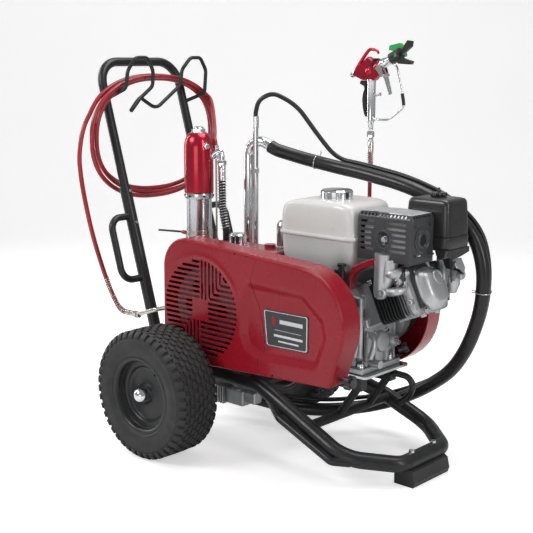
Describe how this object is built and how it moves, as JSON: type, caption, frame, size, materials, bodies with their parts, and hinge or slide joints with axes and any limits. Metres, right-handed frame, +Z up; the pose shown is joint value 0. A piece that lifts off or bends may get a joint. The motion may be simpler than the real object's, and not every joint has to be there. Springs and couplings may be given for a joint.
{
  "type": "airless paint sprayer",
  "caption": "Petrol-engined airless paint sprayer on a two-wheeled tube cart: belt-driven hydraulic paint pump, suction hose, coiled paint hose on a telescoping handle and a spray gun.",
  "frame": {"origin": "centre of the flat underside of the front foot, on the ground", "axes": "+Z up, +X forwards from the handle to the foot, +Y to the side away from the belt guard, parallel to the axle"},
  "size_m": [1.0762, 0.708, 1.0359],
  "materials": {
    "frame_black": "satin powder coat",
    "guard_red": "gloss",
    "red_paint": "gloss paint",
    "anodised_red": "red anodised",
    "rubber_black": "matt",
    "tyre_black": "matt",
    "zinc": "zinc plated",
    "chrome": "polished",
    "cast_aluminium": "as cast",
    "dark_steel": "dark grey paint",
    "black_fins": "black painted",
    "tank_white": "semi gloss",
    "plastic_black": "satin",
    "nickel": "nickel plated",
    "paint_hose_red": "satin",
    "badge": "printed, bright border",
    "tip_green": "satin"
  },
  "bodies": {
    "chassis": {"cart_frame": "frame_black", "foot_pad": "rubber_black", "frame_bolts": "zinc", "axle": "zinc", "engine_plate": "zinc", "guard_rear": "guard_red", "guard_front": "guard_red", "guard_badge": "badge", "guard_back_plate": "dark_steel", "drive_belt": "rubber_black", "hydraulic_tank": "red_paint", "filter_canister": "zinc", "hydraulic_housing": "cast_aluminium", "hydraulic_hose": "rubber_black", "pump_cap": "anodised_red", "pump_cylinder": "zinc", "fluid_section": "nickel", "siphon_tube": "chrome", "return_tube": "chrome", "suction_hose": "rubber_black", "bleed_hose": "rubber_black", "hose_ties": "zinc", "hose_fittings": "nickel", "paint_hose_tail": "paint_hose_red", "paint_hose_lead": "paint_hose_red", "gun_whip_hose": "paint_hose_red", "crankcase": "cast_aluminium", "cylinder_block": "black_fins", "valve_cover": "cast_aluminium", "fan_shroud": "red_paint", "fuel_tank": "tank_white", "muffler": "dark_steel", "muffler_shield": "dark_steel", "air_cleaner_base": "plastic_black", "air_cleaner_cover": "plastic_black", "carburettor": "cast_aluminium", "drain_hose": "rubber_black", "gun_body": "anodised_red", "gun_tip_guard": "plastic_black"},
    "near_wheel": {"near_tyre": "tyre_black", "near_rim": "frame_black", "near_hub_cap": "chrome"},
    "far_wheel": {"far_tyre": "tyre_black", "far_rim": "frame_black", "far_hub_cap": "chrome"},
    "handle": {"upper_handle": "frame_black", "hose_hook": "frame_black", "paint_hose_coil": "paint_hose_red"},
    "crank": {"engine_pulley": "dark_steel"},
    "pump_drive": {"pump_pulley": "dark_steel"},
    "piston": {"piston_rod": "chrome"},
    "fuel_cap": {"fuel_cap": "chrome"},
    "hydraulic_cap": {"hydraulic_cap": "chrome"},
    "guard_knob": {"guard_knob": "plastic_black"},
    "recoil_handle": {"recoil_handle": "plastic_black"},
    "air_knob": {"air_cleaner_knob": "plastic_black"},
    "buttons": {"lock_buttons": "chrome"},
    "valve_lever": {"valve_lever": "zinc"},
    "trigger": {"gun_trigger": "chrome"},
    "spray_tip": {"gun_tip": "tip_green"}
  },
  "joints": [
    {"name": "near_wheel_spin", "type": "hinge", "parent": "chassis", "child": "near_wheel", "pos_m": [-0.591, -0.32, 0.165], "axis": [0, 1, 0], "continuous": true},
    {"name": "far_wheel_spin", "type": "hinge", "parent": "chassis", "child": "far_wheel", "pos_m": [-0.591, 0.2, 0.165], "axis": [0, 1, 0], "continuous": true},
    {"name": "handle_slide", "type": "slide", "parent": "chassis", "child": "handle", "axis": [-0.2891, 0, 0.9573], "range_m": [-0.15, 0]},
    {"name": "crank_spin", "type": "hinge", "parent": "chassis", "child": "crank", "pos_m": [-0.219, -0.19, 0.373], "axis": [0, 1, 0], "continuous": true},
    {"name": "pump_spin", "type": "hinge", "parent": "chassis", "child": "pump_drive", "pos_m": [-0.532, -0.19, 0.368], "axis": [0, 1, 0], "continuous": true},
    {"name": "piston_stroke", "type": "slide", "parent": "chassis", "child": "piston", "axis": [0, 0, 1], "range_m": [0, 0.055]},
    {"name": "fuel_cap_turn", "type": "hinge", "parent": "chassis", "child": "fuel_cap", "pos_m": [-0.271, 0, 0.665], "axis": [0, 0, 1], "range_deg": [0, 90]},
    {"name": "hydraulic_cap_turn", "type": "hinge", "parent": "chassis", "child": "hydraulic_cap", "pos_m": [-0.553, -0.06, 0.53], "axis": [0, 0, 1], "range_deg": [0, 360]},
    {"name": "guard_knob_turn", "type": "hinge", "parent": "chassis", "child": "guard_knob", "pos_m": [-0.083, -0.188, 0.262], "axis": [1, 0, 0], "range_deg": [0, 360]},
    {"name": "recoil_pull", "type": "slide", "parent": "chassis", "child": "recoil_handle", "axis": [0, 1, 0], "range_m": [0, 0.35]},
    {"name": "air_knob_turn", "type": "hinge", "parent": "chassis", "child": "air_knob", "pos_m": [-0.029, 0.081, 0.675], "axis": [0, 0, 1], "range_deg": [0, 360]},
    {"name": "buttons_pull", "type": "slide", "parent": "chassis", "child": "buttons", "axis": [0.9573, 0, 0.2891], "range_m": [0, 0.003]},
    {"name": "valve_lever_swing", "type": "hinge", "parent": "chassis", "child": "valve_lever", "pos_m": [-0.749, -0.055, 0.52], "axis": [0, 0, 1], "range_deg": [-30, 30]},
    {"name": "trigger_squeeze", "type": "hinge", "parent": "chassis", "child": "trigger", "pos_m": [-0.301, 0.21, 0.972], "axis": [0, 1, 0], "range_deg": [0, 16]},
    {"name": "tip_turn", "type": "hinge", "parent": "chassis", "child": "spray_tip", "pos_m": [-0.247, 0.21, 1], "axis": [0, 1, 0], "range_deg": [0, 180]}
  ],
  "couplings": [
    {"joint": "pump_spin", "follows": "crank_spin", "ratio": 0.38947}
  ]
}
